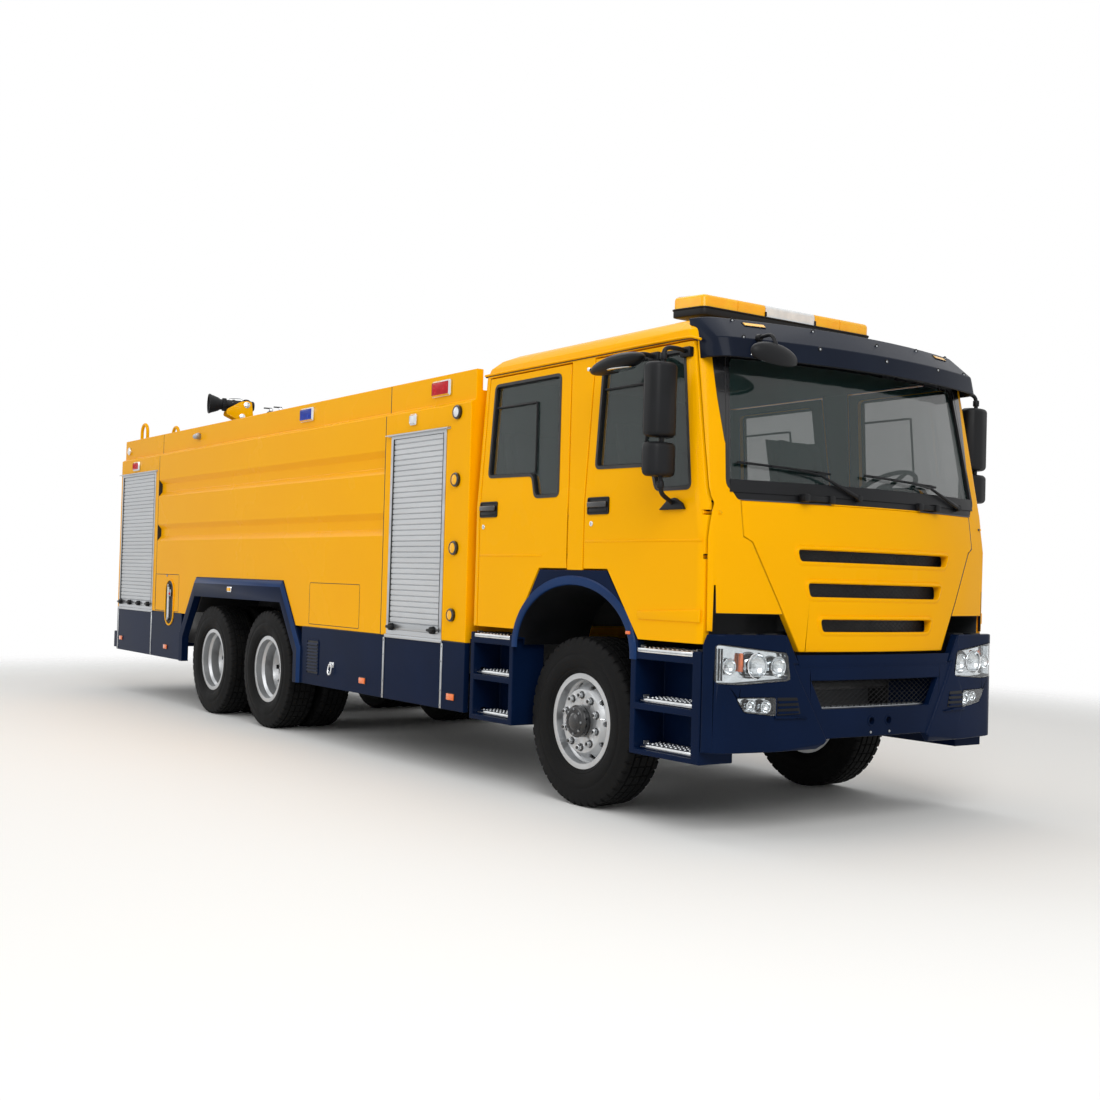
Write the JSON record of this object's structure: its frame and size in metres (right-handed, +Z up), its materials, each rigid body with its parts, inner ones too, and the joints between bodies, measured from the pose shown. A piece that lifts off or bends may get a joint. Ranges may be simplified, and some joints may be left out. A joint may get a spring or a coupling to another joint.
{
  "type": "airport fire truck",
  "caption": "Three-axle airport fire truck with a tilting crew cab, hinged doors, steered front wheels, ribbed tank body with roller shutters, flip-down side steps and a roof monitor.",
  "frame": {"origin": "on the ground under the middle of the truck's length and width", "axes": "+X towards the front of the truck, +Y to its left, +Z up"},
  "size_m": [10.772, 3, 3.466],
  "materials": {
    "yellow_paint": "gloss chrome yellow paint",
    "navy_paint": "gloss navy paint",
    "black_plastic": "grained black plastic",
    "chassis_paint": "black chassis paint",
    "dark_steel": "dark painted castings",
    "aluminium": "anodised aluminium",
    "tinted_glass": "grey tinted safety glass",
    "lamp_lens": "clear and coloured lamp lenses",
    "seat_fabric": "woven seat covers",
    "tyre_rubber": "black rubber",
    "silver_paint": "silver wheel paint"
  },
  "bodies": {
    "chassis": {"chassis_frame": "chassis_paint", "front_axle": "dark_steel", "rear_axles": "dark_steel", "leaf_springs": "dark_steel", "engine": "dark_steel", "drive_shafts": "dark_steel", "front_bumper": "navy_paint", "bumper_mesh": "black_plastic", "headlamps": "lamp_lens", "arch_steps": "navy_paint", "step_treads": "aluminium", "superstructure": "yellow_paint", "side_skirts": "navy_paint", "roller_shutters": "aluminium", "body_lamps": "lamp_lens", "rear_bumper": "navy_paint", "rear_ladder": "yellow_paint", "monitor_base": "black_plastic"},
    "cab": {"cab_shell": "yellow_paint", "front_panel": "yellow_paint", "panel_mesh": "black_plastic", "scuttle_panel": "black_plastic", "windscreen": "tinted_glass", "sun_visor": "navy_paint", "light_bar": "lamp_lens", "front_mirror": "black_plastic", "seats": "seat_fabric", "dashboard": "black_plastic"},
    "door_front_right": {"door_front_right": "yellow_paint", "glass_front_right": "tinted_glass", "mirrors_right": "black_plastic"},
    "door_front_left": {"door_front_left": "yellow_paint", "glass_front_left": "tinted_glass", "mirrors_left": "black_plastic"},
    "door_rear_right": {"door_rear_right": "yellow_paint", "glass_rear_right": "tinted_glass"},
    "door_rear_left": {"door_rear_left": "yellow_paint", "glass_rear_left": "tinted_glass"},
    "monitor_swivel": {"monitor_swivel": "yellow_paint"},
    "monitor_barrel": {"monitor_barrel": "black_plastic"},
    "flap_front_right": {"flap_front_right": "navy_paint"},
    "flap_rear_right": {"flap_rear_right": "navy_paint"},
    "knuckle_right": {"knuckle_right": "dark_steel"},
    "wheel_front_right": {"front_tyre_right": "tyre_rubber", "front_rim_right": "silver_paint"},
    "wheel_rear_1_right": {"rear_tyres_1_right": "tyre_rubber", "rear_rims_1_right": "silver_paint"},
    "wheel_rear_2_right": {"rear_tyres_2_right": "tyre_rubber", "rear_rims_2_right": "silver_paint"},
    "flap_front_left": {"flap_front_left": "navy_paint"},
    "flap_rear_left": {"flap_rear_left": "navy_paint"},
    "knuckle_left": {"knuckle_left": "dark_steel"},
    "wheel_front_left": {"front_tyre_left": "tyre_rubber", "front_rim_left": "silver_paint"},
    "wheel_rear_1_left": {"rear_tyres_1_left": "tyre_rubber", "rear_rims_1_left": "silver_paint"},
    "wheel_rear_2_left": {"rear_tyres_2_left": "tyre_rubber", "rear_rims_2_left": "silver_paint"}
  },
  "joints": [
    {"name": "cab_tilt", "type": "hinge", "parent": "chassis", "child": "cab", "pos_m": [5.26, 0, 1.1], "axis": [0, 1, 0], "range_deg": [0, 50]},
    {"name": "steer_right", "type": "hinge", "parent": "chassis", "child": "knuckle_right", "pos_m": [3.89, -0.88, 0.5425], "axis": [0, 0, 1], "range_deg": [-35, 35]},
    {"name": "front_wheel_right", "type": "hinge", "parent": "knuckle_right", "child": "wheel_front_right", "pos_m": [3.89, -1.011, 0.5425], "axis": [0, 1, 0], "continuous": true},
    {"name": "rear_wheel_1_right", "type": "hinge", "parent": "chassis", "child": "wheel_rear_1_right", "pos_m": [-0.91, -0.915, 0.5425], "axis": [0, 1, 0], "continuous": true},
    {"name": "rear_wheel_2_right", "type": "hinge", "parent": "chassis", "child": "wheel_rear_2_right", "pos_m": [-2.28, -0.915, 0.5425], "axis": [0, 1, 0], "continuous": true},
    {"name": "front_door_right", "type": "hinge", "parent": "cab", "child": "door_front_right", "pos_m": [5.12, -1.222, 1.7], "axis": [0, 0, 1], "range_deg": [0, 70]},
    {"name": "rear_door_right", "type": "hinge", "parent": "cab", "child": "door_rear_right", "pos_m": [3.808, -1.23, 1.7], "axis": [0, 0, 1], "range_deg": [0, 70]},
    {"name": "front_flap_right", "type": "hinge", "parent": "chassis", "child": "flap_front_right", "pos_m": [1.8725, -1.228, 0.502], "axis": [1, 0, 0], "range_deg": [0, 90]},
    {"name": "rear_flap_right", "type": "hinge", "parent": "chassis", "child": "flap_rear_right", "pos_m": [-4.63, -1.228, 0.502], "axis": [1, 0, 0], "range_deg": [0, 90]},
    {"name": "steer_left", "type": "hinge", "parent": "chassis", "child": "knuckle_left", "pos_m": [3.89, 0.88, 0.5425], "axis": [0, 0, 1], "range_deg": [-35, 35]},
    {"name": "front_wheel_left", "type": "hinge", "parent": "knuckle_left", "child": "wheel_front_left", "pos_m": [3.89, 1.011, 0.5425], "axis": [0, 1, 0], "continuous": true},
    {"name": "rear_wheel_1_left", "type": "hinge", "parent": "chassis", "child": "wheel_rear_1_left", "pos_m": [-0.91, 0.915, 0.5425], "axis": [0, 1, 0], "continuous": true},
    {"name": "rear_wheel_2_left", "type": "hinge", "parent": "chassis", "child": "wheel_rear_2_left", "pos_m": [-2.28, 0.915, 0.5425], "axis": [0, 1, 0], "continuous": true},
    {"name": "front_door_left", "type": "hinge", "parent": "cab", "child": "door_front_left", "pos_m": [5.12, 1.222, 1.7], "axis": [0, 0, -1], "range_deg": [0, 70]},
    {"name": "rear_door_left", "type": "hinge", "parent": "cab", "child": "door_rear_left", "pos_m": [3.808, 1.23, 1.7], "axis": [0, 0, -1], "range_deg": [0, 70]},
    {"name": "front_flap_left", "type": "hinge", "parent": "chassis", "child": "flap_front_left", "pos_m": [1.8725, 1.228, 0.502], "axis": [-1, 0, 0], "range_deg": [0, 90]},
    {"name": "rear_flap_left", "type": "hinge", "parent": "chassis", "child": "flap_rear_left", "pos_m": [-4.63, 1.228, 0.502], "axis": [-1, 0, 0], "range_deg": [0, 90]},
    {"name": "monitor_yaw", "type": "hinge", "parent": "chassis", "child": "monitor_swivel", "pos_m": [-4.11, -0.2, 3.12], "axis": [0, 0, 1], "range_deg": [-170, 170]},
    {"name": "monitor_elevation", "type": "hinge", "parent": "monitor_swivel", "child": "monitor_barrel", "pos_m": [-4.11, -0.2, 3.37], "axis": [-0.9755, 0.2198, 0], "range_deg": [-15, 70]}
  ],
  "couplings": [
    {"joint": "steer_left", "follows": "steer_right", "ratio": 1}
  ]
}
